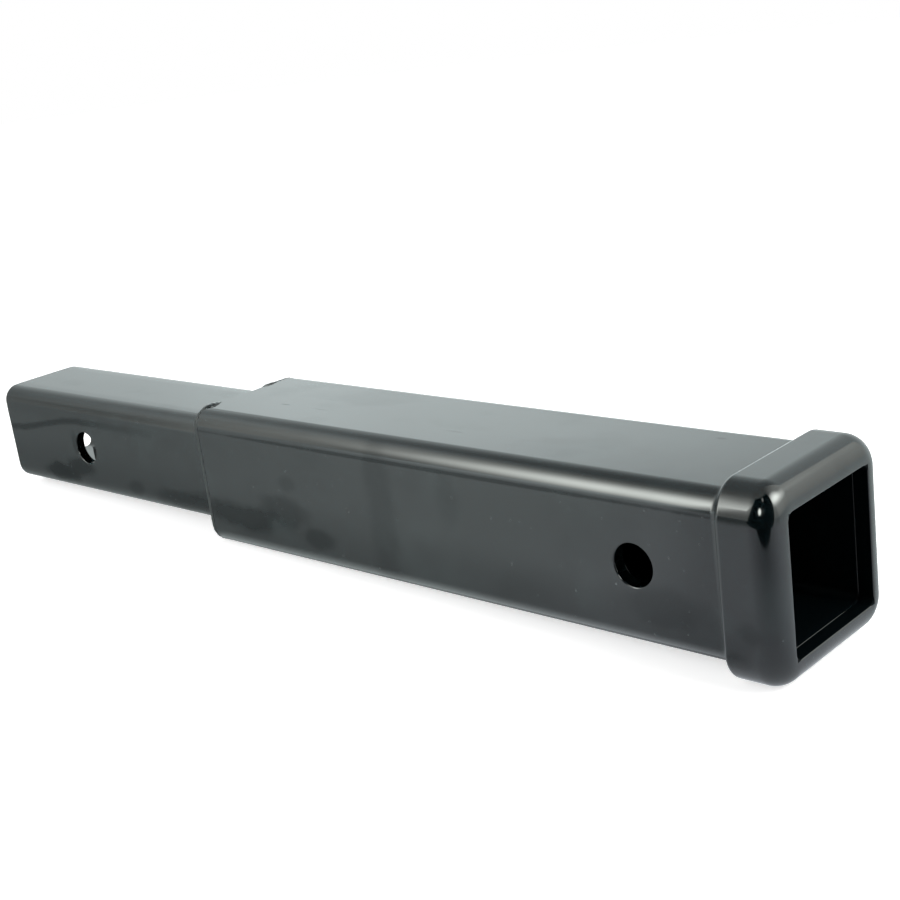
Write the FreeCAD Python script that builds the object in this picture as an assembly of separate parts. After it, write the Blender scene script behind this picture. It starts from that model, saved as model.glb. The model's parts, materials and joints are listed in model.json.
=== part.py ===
import FreeCAD, Part
import math
import os

# Hitch receiver extender: a square shank welded into a larger receiver tube with a reinforcing collar.
# Millimetres. The origin is the centre of the shank's pin hole, +X runs to the mouth, +Z is up.

# Shank tube
SHANK_SIDE = 50.8
SHANK_WALL = 4.76
SHANK_CORNER_RADIUS = 8.0
SHANK_TAIL = 69.6
SHANK_INSERT = 75.0

# Receiver tube
PIN_TO_RECEIVER = 105.5
RECEIVER_LENGTH = 299.5
RECEIVER_WALL = 5.75
RECEIVER_CORNER_RADIUS = 8.0
BORE_CORNER_RADIUS = 3.0
SLIDE_GAP = 0.6

# Cross pin holes
PIN_HOLE_DIAMETER = 16.5
MOUTH_TO_PIN = 60.0

# Collar round the mouth
COLLAR_LENGTH = 22.4
COLLAR_WALL = 4.65
COLLAR_FIT_GAP = 0.1
LIP_DEPTH = 6.0
MOUTH_FLAT = 0.3
MOUTH_EDGE_BREAK = 0.8
COLLAR_EDGE_BREAK = 1.5

# Broken edges under the coat
TUBE_EDGE_BREAK = 0.6
HOLE_EDGE_BREAK = 0.5

# Fillet weld behind the collar
COLLAR_WELD_LEG = 5.2
COLLAR_WELD_MARGIN = 0.3
COLLAR_WELD_CROWN = 0.25
COLLAR_WELD_FLATS = 2

# Fillet welds between the shank and the receiver tube's rear end
SHANK_WELD_LEG = 6.0
SHANK_WELD_PROUD = 0.3
SHANK_WELD_CROWN = 1.2
SHANK_WELD_FLATS = 3
RIGHT_RETURN = 2.0
LEFT_RETURN = 6.6
RIPPLE_PITCH = 5.5
RIPPLE_HEIGHT = 0.3
FEWEST_RIPPLES = 4
WELD_END_LENGTH = 2.4
WELD_END_SHARE = 0.45
WELD_ROOT = 0.4

# Room that a cutter runs past the faces it cuts
CUTTER_OVERRUN = 2.0

# Sizes that follow
RECEIVER_BORE = SHANK_SIDE + 2 * SLIDE_GAP
RECEIVER_SIDE = RECEIVER_BORE + 2 * RECEIVER_WALL
COLLAR_STEP = COLLAR_FIT_GAP + COLLAR_WALL
COLLAR_SIDE = RECEIVER_SIDE + 2 * COLLAR_STEP
COLLAR_CORNER_RADIUS = RECEIVER_CORNER_RADIUS + COLLAR_STEP
NOSE_RADIUS = (COLLAR_SIDE - RECEIVER_BORE) / 2 - MOUTH_FLAT - MOUTH_EDGE_BREAK

# Places along X that follow
SHANK_REAR_X = -SHANK_TAIL
RECEIVER_REAR_X = PIN_TO_RECEIVER
SHANK_FRONT_X = RECEIVER_REAR_X + SHANK_INSERT
MOUTH_X = RECEIVER_REAR_X + RECEIVER_LENGTH
COLLAR_REAR_X = MOUTH_X - COLLAR_LENGTH
RECEIVER_FRONT_X = MOUTH_X - LIP_DEPTH
RECEIVER_PIN_X = MOUTH_X - MOUTH_TO_PIN

AXIS_X = FreeCAD.Vector(1, 0, 0)
AXIS_Y = FreeCAD.Vector(0, 1, 0)

# Distance within which two places count as the same
TOUCH = 1e-4


def rounded_square(side, corner, x):
    """Closed outline of a square with round corners, in the plane at x, round the X axis."""
    half = side / 2
    flat = half - corner
    edges = []
    for quarter in range(4):
        turn = quarter * math.pi / 2
        ends = [turned(x, half, -flat, turn), turned(x, half, flat, turn)]
        edges.append(Part.LineSegment(ends[0], ends[1]).toShape())
        reach = flat + corner * math.sqrt(0.5)
        arc_middle = turned(x, reach, reach, turn)
        arc_end = turned(x, flat, half, turn)
        edges.append(Part.Arc(ends[1], arc_middle, arc_end).toShape())
    return Part.Wire(edges)


def turned(x, y, z, angle):
    """Point (x, y, z) after a turn round the X axis."""
    cosine = math.cos(angle)
    sine = math.sin(angle)
    return FreeCAD.Vector(x, y * cosine - z * sine, y * sine + z * cosine)


def bar(side, corner, x_from, x_to):
    """Solid square bar with round corners between two places along X."""
    face = Part.Face(rounded_square(side, corner, x_from))
    return face.extrude(AXIS_X * (x_to - x_from))


def pin_cutter(x, side):
    """Round cutter that crosses a tube of this side along Y."""
    length = side + 2 * CUTTER_OVERRUN
    start = FreeCAD.Vector(x, -length / 2, 0)
    return Part.makeCylinder(PIN_HOLE_DIAMETER / 2, length, start, AXIS_Y)


def loops_at_x(solid, x, half):
    """Edges in the plane at x that lie on a square of this half side."""
    found = []
    for edge in solid.Edges:
        box = edge.BoundBox
        in_plane = abs(box.XMin - x) < TOUCH and abs(box.XMax - x) < TOUCH
        reach = max(abs(box.YMin), abs(box.YMax), abs(box.ZMin), abs(box.ZMax))
        if in_plane and abs(reach - half) < TOUCH:
            found.append(edge)
    return found


def rims_on_sides(solid, side):
    """Rims of a cross hole on the two outer side faces of a tube."""
    found = []
    for edge in solid.Edges:
        box = edge.BoundBox
        flat = box.YMax - box.YMin < TOUCH
        round_rim = edge.Curve.TypeId == "Part::GeomCircle"
        if flat and round_rim and abs(abs(box.YMin) - side / 2) < TOUCH:
            found.append(edge)
    return found


def shank_tube():
    """Hollow square shank with its cross pin hole."""
    outside = bar(SHANK_SIDE, SHANK_CORNER_RADIUS, SHANK_REAR_X, SHANK_FRONT_X)
    inner_side = SHANK_SIDE - 2 * SHANK_WALL
    inner_corner = SHANK_CORNER_RADIUS - SHANK_WALL
    inside = bar(inner_side, inner_corner, SHANK_REAR_X - CUTTER_OVERRUN, SHANK_FRONT_X + CUTTER_OVERRUN)
    tube = outside.cut(inside).cut(pin_cutter(0, SHANK_SIDE))
    ends = loops_at_x(tube, SHANK_REAR_X, SHANK_SIDE / 2) + loops_at_x(tube, SHANK_FRONT_X, SHANK_SIDE / 2)
    tube = tube.makeChamfer(TUBE_EDGE_BREAK, ends)
    return tube.makeChamfer(HOLE_EDGE_BREAK, rims_on_sides(tube, SHANK_SIDE))


def receiver_tube():
    """Receiver tube with its cross pin hole. Its front end butts the collar's lip."""
    outside = bar(RECEIVER_SIDE, RECEIVER_CORNER_RADIUS, RECEIVER_REAR_X, RECEIVER_FRONT_X)
    bore_from = RECEIVER_REAR_X - CUTTER_OVERRUN
    bore = bar(RECEIVER_BORE, BORE_CORNER_RADIUS, bore_from, RECEIVER_FRONT_X + CUTTER_OVERRUN)
    tube = outside.cut(bore).cut(pin_cutter(RECEIVER_PIN_X, RECEIVER_SIDE))
    ends = loops_at_x(tube, RECEIVER_REAR_X, RECEIVER_SIDE / 2)
    ends += loops_at_x(tube, RECEIVER_FRONT_X, RECEIVER_BORE / 2)
    tube = tube.makeChamfer(TUBE_EDGE_BREAK, ends)
    return tube.makeChamfer(HOLE_EDGE_BREAK, rims_on_sides(tube, RECEIVER_SIDE))


def receiver_collar():
    """Reinforcing ring: broad round nose, inner lip at the mouth, socket for the tube behind it."""
    ring = bar(COLLAR_SIDE, COLLAR_CORNER_RADIUS, COLLAR_REAR_X, MOUTH_X)
    ring = ring.makeFillet(NOSE_RADIUS, loops_at_x(ring, MOUTH_X, COLLAR_SIDE / 2))
    ring = ring.makeChamfer(COLLAR_EDGE_BREAK, loops_at_x(ring, COLLAR_REAR_X, COLLAR_SIDE / 2))
    mouth = bar(RECEIVER_BORE, BORE_CORNER_RADIUS, COLLAR_REAR_X, MOUTH_X + CUTTER_OVERRUN)
    socket_side = RECEIVER_SIDE + 2 * COLLAR_FIT_GAP
    socket_corner = RECEIVER_CORNER_RADIUS + COLLAR_FIT_GAP
    socket = bar(socket_side, socket_corner, COLLAR_REAR_X - CUTTER_OVERRUN, RECEIVER_FRONT_X)
    ring = ring.cut(mouth).cut(socket)
    return ring.makeChamfer(MOUTH_EDGE_BREAK, loops_at_x(ring, MOUTH_X, RECEIVER_BORE / 2))


def collar_weld():
    """Fillet bead all round the tube, against the collar's rear face."""
    surface = RECEIVER_SIDE / 2
    face_leg = COLLAR_STEP - COLLAR_EDGE_BREAK - COLLAR_WELD_MARGIN
    heel = FreeCAD.Vector(COLLAR_REAR_X, 0, surface)
    tube_toe = FreeCAD.Vector(COLLAR_REAR_X - COLLAR_WELD_LEG, 0, surface)
    face_toe = FreeCAD.Vector(COLLAR_REAR_X, 0, surface + face_leg)
    slope = math.atan2(COLLAR_WELD_LEG, face_leg)
    lift = FreeCAD.Vector(-math.cos(slope), 0, math.sin(slope)) * COLLAR_WELD_CROWN
    section = Part.makePolygon([heel] + crowned(tube_toe, face_toe, lift, COLLAR_WELD_FLATS) + [heel])
    path = rounded_square(RECEIVER_SIDE, RECEIVER_CORNER_RADIUS, COLLAR_REAR_X)
    return swept_ring(path, section)


def crowned(start, end, lift, flats):
    """Points from start to end on a shallow curve of a few flats, which rises by lift at its middle."""
    points = []
    for step in range(flats + 1):
        share = step / flats
        points.append(start * (1 - share) + end * share + lift * (4 * share * (1 - share)))
    return points


def swept_ring(path, section):
    """Solid of one section that stands on the path at the middle of the top, carried all round it."""
    shell = Part.BRepOffsetAPI.MakePipeShell(path)
    shell.add(section)
    shell.build()
    shell.makeSolid()
    return shell.shape()


def bead_station(distance, side_sign, end_return):
    """Point and outward direction on the shank, this far along a side weld from its lower end."""
    flat = SHANK_SIDE / 2 - SHANK_CORNER_RADIUS
    arc_length = SHANK_CORNER_RADIUS * math.pi / 2
    along = distance - end_return
    if along < 0:
        return FreeCAD.Vector(0, side_sign * (flat + along), -SHANK_SIDE / 2), FreeCAD.Vector(0, 0, -1)
    if along < arc_length:
        return corner_station(along / SHANK_CORNER_RADIUS - math.pi / 2, flat, -flat, side_sign)
    along -= arc_length
    if along < 2 * flat:
        outward = FreeCAD.Vector(0, side_sign, 0)
        return FreeCAD.Vector(0, side_sign * SHANK_SIDE / 2, along - flat), outward
    along -= 2 * flat
    if along < arc_length:
        return corner_station(along / SHANK_CORNER_RADIUS, flat, flat, side_sign)
    along -= arc_length
    return FreeCAD.Vector(0, side_sign * (flat - along), SHANK_SIDE / 2), FreeCAD.Vector(0, 0, 1)


def corner_station(angle, centre_y, centre_z, side_sign):
    """Point and outward direction on one round corner of the shank."""
    outward = FreeCAD.Vector(0, side_sign * math.cos(angle), math.sin(angle))
    centre = FreeCAD.Vector(0, side_sign * centre_y, centre_z)
    return centre + outward * SHANK_CORNER_RADIUS, outward


def face_reach(point, outward, share, ripple):
    """How far a side weld reaches over the receiver tube's end: a little proud, but flush underneath."""
    reach = ((RECEIVER_SIDE - SHANK_SIDE) / 2 + SHANK_WELD_PROUD) * share + ripple
    if outward.z < -TOUCH:
        return min(reach, (RECEIVER_SIDE / 2 + point.z) / -outward.z)
    return reach


def bead_section(point, outward, share, ripple):
    """Corners of a side weld's section: heel, toe on the shank, crown, toe on the receiver tube's end."""
    root = point - outward * WELD_ROOT
    heel = root + AXIS_X * (RECEIVER_REAR_X + WELD_ROOT)
    shank_toe = root + AXIS_X * (RECEIVER_REAR_X - SHANK_WELD_LEG * share - ripple)
    reach = face_reach(point, outward, share, ripple)
    face_toe = point + outward * reach + AXIS_X * (RECEIVER_REAR_X + WELD_ROOT)
    lift = (outward - AXIS_X) * math.sqrt(0.5) * (SHANK_WELD_CROWN * share + ripple)
    return [heel] + crowned(shank_toe, face_toe, lift, SHANK_WELD_FLATS)


def end_share(distance, total):
    """Share of the full section: it swells from each end of the bead over a rounded stretch."""
    from_end = min(distance, total - distance)
    if from_end >= WELD_END_LENGTH:
        return 1.0
    rest = 1.0 - from_end / WELD_END_LENGTH
    return WELD_END_SHARE + (1.0 - WELD_END_SHARE) * math.sqrt(max(0.0, 1.0 - rest * rest))


def flat_face(corners):
    """Flat face between corner points."""
    return Part.Face(Part.makePolygon(corners + corners[:1]))


def skinned(sections):
    """Solid with a skin of flat triangles through sections that have the same number of corners."""
    faces = [flat_face(sections[0]), flat_face(sections[-1])]
    for near, far in zip(sections, sections[1:]):
        for corner in range(len(near)):
            following = (corner + 1) % len(near)
            faces.append(flat_face([near[corner], near[following], far[corner]]))
            faces.append(flat_face([near[following], far[following], far[corner]]))
    shell = Part.makeShell(faces)
    shell.sewShape()
    return Part.makeSolid(shell)


def shank_weld(side_sign, end_return, shank, receiver):
    """Rippled fillet bead down one side of the shank, turned round both corners."""
    arc_length = SHANK_CORNER_RADIUS * math.pi / 2
    total = 2 * end_return + 2 * arc_length + SHANK_SIDE - 2 * SHANK_CORNER_RADIUS
    ripples = max(FEWEST_RIPPLES, round(total / RIPPLE_PITCH))
    sections = []
    for step in range(2 * ripples + 1):
        distance = total * step / (2 * ripples)
        ripple = RIPPLE_HEIGHT / 2 if step % 2 else -RIPPLE_HEIGHT / 2
        point, outward = bead_station(distance, side_sign, end_return)
        sections.append(bead_section(point, outward, end_share(distance, total), ripple))
    return skinned(sections).cut(shank).cut(receiver)


def main():
    """Build every piece and write one file for each."""
    shank = shank_tube()
    receiver = receiver_tube()
    pieces = {
        "shank_tube": shank,
        "receiver_tube": receiver,
        "receiver_collar": receiver_collar(),
        "collar_weld": collar_weld(),
        "left_shank_weld": shank_weld(1, LEFT_RETURN, shank, receiver),
        "right_shank_weld": shank_weld(-1, RIGHT_RETURN, shank, receiver),
    }
    for name, shape in pieces.items():
        shape.exportStep(f"parts/{name}.step")
        print(name, "solids", len(shape.Solids), "valid", shape.isValid(), "volume", round(shape.Volume, 1))


os.makedirs("parts", exist_ok=True)
main()
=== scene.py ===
import json
import logging
import math
from collections.abc import Callable, Sequence
from dataclasses import dataclass, field
from enum import Enum

import bpy
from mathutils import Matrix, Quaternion, Vector


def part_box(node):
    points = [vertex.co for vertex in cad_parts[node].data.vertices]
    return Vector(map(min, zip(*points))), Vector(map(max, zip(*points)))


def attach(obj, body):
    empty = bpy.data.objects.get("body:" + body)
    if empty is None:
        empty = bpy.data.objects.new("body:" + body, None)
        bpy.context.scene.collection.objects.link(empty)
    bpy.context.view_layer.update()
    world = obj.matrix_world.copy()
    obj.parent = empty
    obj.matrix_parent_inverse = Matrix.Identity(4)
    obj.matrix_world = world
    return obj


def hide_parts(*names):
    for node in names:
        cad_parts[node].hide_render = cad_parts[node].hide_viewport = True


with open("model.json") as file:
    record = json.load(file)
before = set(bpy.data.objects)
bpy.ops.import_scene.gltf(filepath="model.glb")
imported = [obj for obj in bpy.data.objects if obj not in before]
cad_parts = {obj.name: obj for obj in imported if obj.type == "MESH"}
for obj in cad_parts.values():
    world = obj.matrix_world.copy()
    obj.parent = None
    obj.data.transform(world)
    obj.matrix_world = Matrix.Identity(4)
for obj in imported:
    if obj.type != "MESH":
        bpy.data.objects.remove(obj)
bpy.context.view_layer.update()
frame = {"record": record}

BODY = "root"
MM = 0.001
TURN = 2 * math.pi
QUARTER = TURN / 4
ALONG_X = Vector((1, 0, 0))
NOWHERE = Vector((0, 0, 0))
WHITE = (1.0, 1.0, 1.0, 1.0)
BEAD_MARKS = ("along", "across", "hold")

log = logging.getLogger("hitch_extender")


class Slot(Enum):
    """The record's material slots."""

    BLACK_COAT = "black_coat"
    WELD_COAT = "weld_coat"


class Side(Enum):
    """A side of the tubes, by the sign of its Y."""

    LEFT = 1
    RIGHT = -1


# Node trees

class Wire:
    """A number in a node tree. Python's operators on it add Math nodes."""

    def __init__(self, board: "Board", socket: bpy.types.NodeSocket) -> None:
        """Keep an output socket and the board that it lies on."""
        self.board = board
        self.socket = socket

    def __add__(self, other: "Number") -> "Wire":
        """Sum."""
        return self.board.maths("ADD", self, other)

    __radd__ = __add__

    def __sub__(self, other: "Number") -> "Wire":
        """Difference."""
        return self.board.maths("SUBTRACT", self, other)

    def __rsub__(self, other: "Number") -> "Wire":
        """Difference, the other way round."""
        return self.board.maths("SUBTRACT", other, self)

    def __mul__(self, other: "Number") -> "Wire":
        """Product."""
        return self.board.maths("MULTIPLY", self, other)

    __rmul__ = __mul__

    def __truediv__(self, other: "Number") -> "Wire":
        """Quotient."""
        return self.board.maths("DIVIDE", self, other)

    def __rtruediv__(self, other: "Number") -> "Wire":
        """Quotient, the other way round."""
        return self.board.maths("DIVIDE", other, self)


Number = Wire | float
Feed = Wire | bpy.types.NodeSocket | float | int | str | bool | tuple | bpy.types.Material
Feeds = dict[str | int, Feed]
Settings = dict[str, object]
Places = tuple[Wire, Wire, Wire, Wire]
Colour = tuple[float, float, float, float]
Span = tuple[float, float]


class Board:
    """A node tree of any kind, and the one place where its nodes are made."""

    def __init__(self, tree: bpy.types.NodeTree) -> None:
        """Empty the tree that gets the nodes."""
        self.tree = tree
        tree.nodes.clear()

    def node(self, kind: str, settings: Settings | None = None, feeds: Feeds | None = None) -> bpy.types.Node:
        """Add one node.

        Args:
            kind: The node's type name.
            settings: Its own properties, set before its sockets are used.
            feeds: A value or a link for each input socket, by name or number.

        Returns:
            The new node.
        """
        made = self.tree.nodes.new(kind)
        for name, value in (settings or {}).items():
            setattr(made, name, value)
        for key, value in (feeds or {}).items():
            source = value.socket if isinstance(value, Wire) else value
            if isinstance(source, bpy.types.NodeSocket):
                self.tree.links.new(source, made.inputs[key])
            else:
                made.inputs[key].default_value = source
        return made

    def wire(self, kind: str, settings: Settings | None = None, feeds: Feeds | None = None,
             output: str | int = 0) -> Wire:
        """Add one node and give the output of that name or number, to reckon with."""
        return Wire(self, self.node(kind, settings, feeds).outputs[output])

    def maths(self, operation: str, *values: Number) -> Wire:
        """Add a Math node on one, two or three values."""
        return self.wire("ShaderNodeMath", {"operation": operation}, dict(enumerate(values)))

    def step(self, value: Number, low: Number, high: Number) -> Wire:
        """A smooth step from 0 where the value is low to 1 where it is high. High may lie below low."""
        feeds = {0: value, 1: low, 2: high, 3: 0.0, 4: 1.0}
        return self.wire("ShaderNodeMapRange", {"interpolation_type": "SMOOTHSTEP"}, feeds)

    def blend(self, share: Number, first: Number, second: Number) -> Wire:
        """A number between two others. A share of 0 gives the first, 1 the second."""
        return self.wire("ShaderNodeMix", {"data_type": "FLOAT"}, {0: share, 2: first, 3: second})

    def tint(self, share: Number, first: Colour | Wire, second: Colour | Wire) -> Wire:
        """A colour between two others. A share of 0 gives the first, 1 the second."""
        return self.wire("ShaderNodeMix", {"data_type": "RGBA"}, {0: share, 6: first, 7: second}, 2)

    def places(self) -> Places:
        """Read the Object coordinates.

        Returns:
            The coordinates whole, and their X, Y and Z.
        """
        whole = self.wire("ShaderNodeTexCoord", output="Object")
        parts = self.node("ShaderNodeSeparateXYZ", feeds={0: whole})
        return whole, *(Wire(self, parts.outputs[i]) for i in range(3))

    def noise(self, place: Wire, size: float, detail: float = 2.0, stretch: tuple = (1.0, 1.0, 1.0)) -> Wire:
        """Noise round 0.5, with clouds as wide as size. Stretch says how much finer it is along each axis."""
        scaled = self.wire("ShaderNodeMapping", {"vector_type": "POINT"}, {0: place, 3: stretch})
        return self.wire("ShaderNodeTexNoise", None, {"Vector": scaled, "Scale": 1 / size, "Detail": detail})

    def enamel(self, colour: Colour | Wire, roughness: Number, ior: float, bump: Wire) -> Wire:
        """A shader for a layer of enamel."""
        feeds = {"Base Color": colour, "Roughness": roughness, "IOR": ior, "Normal": bump}
        return self.wire("ShaderNodeBsdfPrincipled", None, feeds)

    def glow(self, colour: Colour | Wire, strength: Number) -> Wire:
        """A shader that gives light."""
        return self.wire("ShaderNodeEmission", None, {"Color": colour, "Strength": strength})

    def mix(self, share: Wire, first: Wire, second: Wire) -> Wire:
        """A shader between two others. A share of 0 gives the first, 1 the second."""
        return self.wire("ShaderNodeMixShader", None, {0: share, 1: first, 2: second})

    def ray(self, kind: str) -> Wire:
        """1 on rays of this kind, such as Camera or Glossy."""
        return self.wire("ShaderNodeLightPath", output=f"Is {kind} Ray")

    def finish(self, shader: Wire, target: str = "Material") -> None:
        """Send a shader to the tree's output."""
        self.node(f"ShaderNodeOutput{target}", None, {"Surface": shader})


def new_material(name: str) -> tuple[bpy.types.Material, Board]:
    """Start a material.

    Args:
        name: Its name.

    Returns:
        The material and the board of its tree.
    """
    made = bpy.data.materials.new(name)
    made.use_nodes = True
    return made, Board(made.node_tree)


def new_object(name: str, data: bpy.types.ID) -> bpy.types.Object:
    """Put an object into the scene.

    Args:
        name: Its name.
        data: Its mesh, light or camera.

    Returns:
        The object.
    """
    made = bpy.data.objects.new(name, data)
    bpy.context.scene.collection.objects.link(made)
    return made


# Finishes

class Face(Enum):
    """The face of a tube that a mark lies on."""

    NEAR = "near"
    TOP = "top"


@dataclass(frozen=True)
class Mark:
    """A soft patch where the coat mirrors less. Places are in mm, along X and across the face.

    Core is the share of its reach over which it is full.
    """

    x: float
    across: float
    reach_x: float
    reach_across: float
    depth: float
    face: Face = Face.NEAR
    core: float = 0.45


@dataclass(frozen=True)
class DullLine:
    """A wavy line where the coat mirrors less, which climbs from one height to another along the near face,
    in mm.
    """

    x_from: float
    x_to: float
    z_from: float
    z_to: float
    fade_to: float
    width: float
    depth: float
    fade_length: float = 12.0
    wander: float = 2.4
    faint_end: float = 0.3
    core: float = 0.2


@dataclass(frozen=True)
class GlossCoat:
    """Thick black enamel: dark, wet-looking and a little wavy."""

    name: str
    half: float = 1.0
    bore: float = 0.0
    marks: tuple[Mark, ...] = ()
    dull_lines: tuple[DullLine, ...] = ()
    colour: Colour = (0.0012, 0.0035, 0.0042, 1.0)
    # Inside the bore the coat is darker and mirrors less: painted shade in the tube's hollow.
    bore_shade_colour: Colour = (0.0004, 0.0014, 0.002, 1.0)
    dusty_colour: Colour = (0.008, 0.014, 0.0145, 1.0)
    speck_colour: Colour = (0.045, 0.053, 0.053, 1.0)
    ior: float = 1.72
    dull_ior: float = 1.22
    dull_roughness: float = 0.35
    bore_ior: float = 1.12
    bore_roughness: float = 0.5
    bore_edge: Span = (0.05 * MM, 0.25 * MM)
    roughness: float = 0.05
    smudge_roughness: float = 0.1
    smudge_size: float = 38 * MM
    smudge_span: Span = (0.52, 0.75)
    speck_size: float = 1.3 * MM
    speck_span: Span = (0.845, 0.885)
    peel_size: float = 3.2 * MM
    peel_depth: float = 0.0012 * MM
    wave_size: float = 46 * MM
    wave_depth: float = 0.08 * MM
    cloud_size: float = 22 * MM
    cloud_span: Span = (0.48, 0.72)
    cloud_depth: float = 0.08
    wander_size: float = 9 * MM
    wander: float = 0.7
    drawn_out: tuple[float, float, float] = (0.6, 1.0, 1.0)
    face_fade: float = 0.6 * MM
    near_reach: float = 3.4 * MM
    side_roughness: float = 0.0
    side_from: float = 24 * MM
    side_fade: float = 2 * MM

    def kept(self, board: Board, places: Places) -> Wire:
        """How much of the gloss is left.

        Args:
            board: The material's board.
            places: The Object coordinates, whole and as X, Y and Z.

        Returns:
            1 in the clean coat and less in the marks and clouds.
        """
        place, x, y, z = places
        near = board.step(y, self.near_reach + self.face_fade - self.half, self.near_reach - self.half)
        top = board.step(z, self.half - self.face_fade * 1.5, self.half - self.face_fade * 0.5)
        wander = (board.noise(place, self.wander_size) - 0.5) * self.wander
        clouds = board.step(board.noise(place, self.cloud_size, 3.0, self.drawn_out), *self.cloud_span)
        left = 1.0 - clouds * self.cloud_depth
        for mark in self.marks:
            face, across = (near, z) if mark.face is Face.NEAR else (top, y)
            run = (x - mark.x * MM) / (mark.reach_x * MM)
            rise = (across - mark.across * MM) / (mark.reach_across * MM)
            gap = board.maths("SQRT", run * run + rise * rise) + wander
            left = left * (1.0 - board.step(gap, 1.0, mark.core) * face * mark.depth)
        for dull_line in self.dull_lines:
            start, end, last, length = (v * MM for v in (dull_line.x_from, dull_line.x_to, dull_line.fade_to, dull_line.fade_length))
            line = board.step(x, start, end) * ((dull_line.z_to - dull_line.z_from) * MM) + dull_line.z_from * MM
            gap = board.maths("ABSOLUTE", z - line + wander * dull_line.wander * MM) / (dull_line.width * MM)
            fade = board.step(x, last, end - length) * (1 - dull_line.faint_end) + dull_line.faint_end
            fade = fade * board.step(x, last + length, last)
            left = left * (1.0 - board.step(gap, 1.0, dull_line.core) * near * fade * dull_line.depth)
        return left

    def material(self) -> bpy.types.Material:
        """Build the material.

        Returns:
            The finished material.
        """
        made, board = new_material(self.name)
        places = board.places()
        place, _, y, z = places
        aside = board.maths("ABSOLUTE", y)
        smudges = board.step(board.noise(place, self.smudge_size, 4.0), *self.smudge_span)
        roughness = board.blend(smudges, self.roughness, self.smudge_roughness)
        if self.side_roughness:
            beside = board.step(aside, self.side_from, self.side_from + self.side_fade)
            roughness = board.blend(beside, roughness, self.side_roughness)
        specks = board.step(board.noise(place, self.speck_size, 0.0), *self.speck_span)
        colour = board.tint(specks, board.tint(smudges, self.colour, self.dusty_colour), self.speck_colour)
        peel = board.noise(place, self.peel_size, 1.0) * self.peel_depth
        waves = board.noise(place, self.wave_size, 1.0, self.drawn_out) * self.wave_depth
        bump = board.wire("ShaderNodeBump", None, {"Strength": 1.0, "Distance": 1.0, "Height": peel + waves})
        clean = board.enamel(colour, roughness, self.ior, bump)
        dull = board.enamel(colour, self.dull_roughness, self.dull_ior, bump)
        shader = board.mix(self.kept(board, places), dull, clean)
        # Painted shade inside the bore: a darker coat that mirrors less.
        if self.bore:
            painted_bore_shade = board.enamel(self.bore_shade_colour, self.bore_roughness, self.bore_ior, bump)
            off = board.maths("MAXIMUM", aside, board.maths("ABSOLUTE", z))
            outside = board.step(off, *(self.bore + edge for edge in self.bore_edge))
            shader = board.mix(outside, painted_bore_shade, shader)
        board.finish(shader)
        return made


SHANK_MARKS = (
    Mark(-8, -11, 15, 7, 0.6),
    Mark(-27, -16.5, 20, 6.5, 0.72),
    Mark(-9.5, 1, 3.5, 9, 0.35),
    Mark(78, -17.5, 34, 6.5, 0.45),
    Mark(38, -16, 9, 5, 0.34),
    Mark(92, -13, 14, 4, 0.25),
)
SHANK_DULL_LINES = (DullLine(-68, -2, 4.6, 13.6, 55, 2.8, 0.56),)
RECEIVER_MARKS = (
    Mark(127, -15, 39, 8.5, 0.52),
    Mark(158, -8, 20, 9, 0.36),
    Mark(179, -18, 13, 6, 0.4),
    Mark(220, 0, 10, 60, 0.2),
    # Painted dark line in the reflection, just under the bright band along the top edge: the coat mirrors
    # less along it.
    Mark(245, 23.0, 190, 1.1, 0.5),
    Mark(162, 5, 7, 5, 0.2),
    Mark(258, 12, 8, 14, 0.12),
    Mark(357, -14, 26, 10, 0.22),
    Mark(340, 1, 5, 4, 0.25),
    Mark(142, -8, 4, 0.8, 0.3, Face.TOP),
    Mark(165, -8, 6, 0.6, 0.15, Face.TOP),
    Mark(247, -11, 7, 0.7, 0.12, Face.TOP),
    Mark(158, 4.6, 4, 0.5, 0.12, Face.TOP),
    Mark(352, 18, 3, 1.2, 0.2, Face.TOP),
)
COLLAR_MARKS = (
    Mark(390, 28, 26, 5, 0.3),
    Mark(394, -14, 7, 5, 0.22),
    Mark(388, -25, 9, 4, 0.2),
)


# Skins

def shares(steps: int) -> list[float]:
    """Even steps from 0 up to 1, which is left out."""
    return [step / steps for step in range(steps)]


@dataclass(frozen=True)
class Section:
    """One outline of a square skin, in a plane across X."""

    x: float
    half: float
    corner: float
    lean: float


@dataclass(frozen=True)
class Outline:
    """How a rounded square's points are spread: steps on each corner, and lines kept on each flat.

    Beside each corner the flat may bend by bend_turn, over the length bend.
    """

    corner_steps: int
    flat_lines: tuple[float, ...] = ()
    bend: float = 0.0
    bend_turn: float = 0.0
    bend_steps: int = 4

    def stations(self, half: float, corner: float) -> list[tuple[float, float, float, float]]:
        """Points of one rounded square.

        Args:
            half: Half its side.
            corner: Its corner radius.

        Returns:
            The place (y, z) and the outward direction (y, z) of each point, in order.
        """
        flat = half - corner
        bends = [flat - self.bend * (1 - share) for share in shares(self.bend_steps)]
        lines = sorted({-flat, flat, *bends, *(-line for line in bends), *self.flat_lines})
        start = self.bend_turn if self.bend else 0.0
        drop = start * self.bend / 2
        found = []
        for quarter in range(4):
            turn = quarter * QUARTER
            for line in lines:
                past = max(0.0, abs(line) - flat + self.bend) / self.bend if self.bend else 0.0
                droop = self.bend_turn * self.bend * past * past / 2
                angle = math.copysign(self.bend_turn * past, line)
                found.append(self.turned(half - droop, line, angle, turn))
            for share in shares(self.corner_steps)[1:]:
                angle = start + share * (QUARTER - 2 * start)
                y = flat - drop + corner * math.cos(share * QUARTER)
                z = flat - drop + corner * math.sin(share * QUARTER)
                found.append(self.turned(y, z, angle, turn))
        return found

    @staticmethod
    def turned(y: float, z: float, angle: float, turn: float) -> tuple[float, float, float, float]:
        """A point of the first quarter and its direction, turned to another quarter."""
        c, s = math.cos(turn), math.sin(turn)
        return y * c - z * s, y * s + z * c, math.cos(angle + turn), math.sin(angle + turn)


Corner = tuple[Vector, Vector]


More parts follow.
